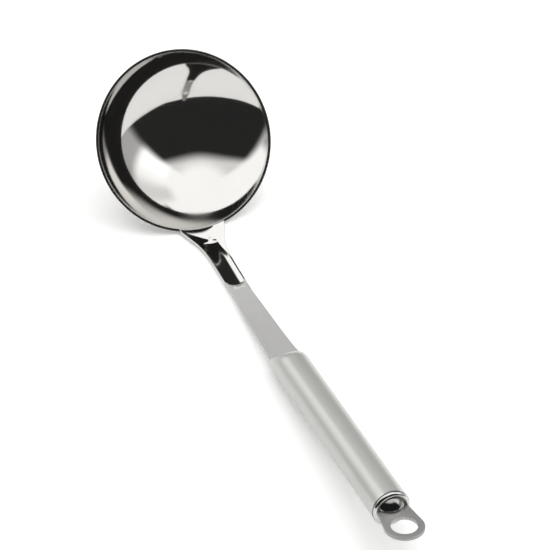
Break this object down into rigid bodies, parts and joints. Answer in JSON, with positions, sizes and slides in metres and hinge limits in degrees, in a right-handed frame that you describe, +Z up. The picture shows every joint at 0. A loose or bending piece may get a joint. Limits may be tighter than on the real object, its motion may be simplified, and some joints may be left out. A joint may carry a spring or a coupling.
{
  "type": "soup ladle",
  "caption": "Shallow round bowl on a flat ribbed strap stem with a round tube handle and a flat hanging eye.",
  "frame": {"origin": "middle of the underside of the ladle's box, on the surface that it lies on", "axes": "+X along the ladle from the bowl to the hanging eye, +Y across it, +Z up from the surface"},
  "size_m": [0.3252, 0.093, 0.0719],
  "materials": {
    "mirror_steel": "mirror-polished stainless steel",
    "polished_weld": "weld metal ground flush and polished",
    "stem_steel": "polished neck with a brushed flat strap",
    "satin_steel": "satin, fine grain along the tube",
    "mouth_weld": "plain weld metal",
    "polished_cap": "polished stainless steel",
    "brushed_loop": "tumbled grey sheet",
    "inner_weld": "plain weld metal, hidden"
  },
  "bodies": {
    "root": {"bowl": "mirror_steel", "neck_weld": "polished_weld", "stem": "stem_steel", "handle_tube": "satin_steel", "mouth_weld": "mouth_weld", "end_cap": "polished_cap", "hanging_loop": "brushed_loop", "loop_weld": "inner_weld"}
  },
  "joints": []
}
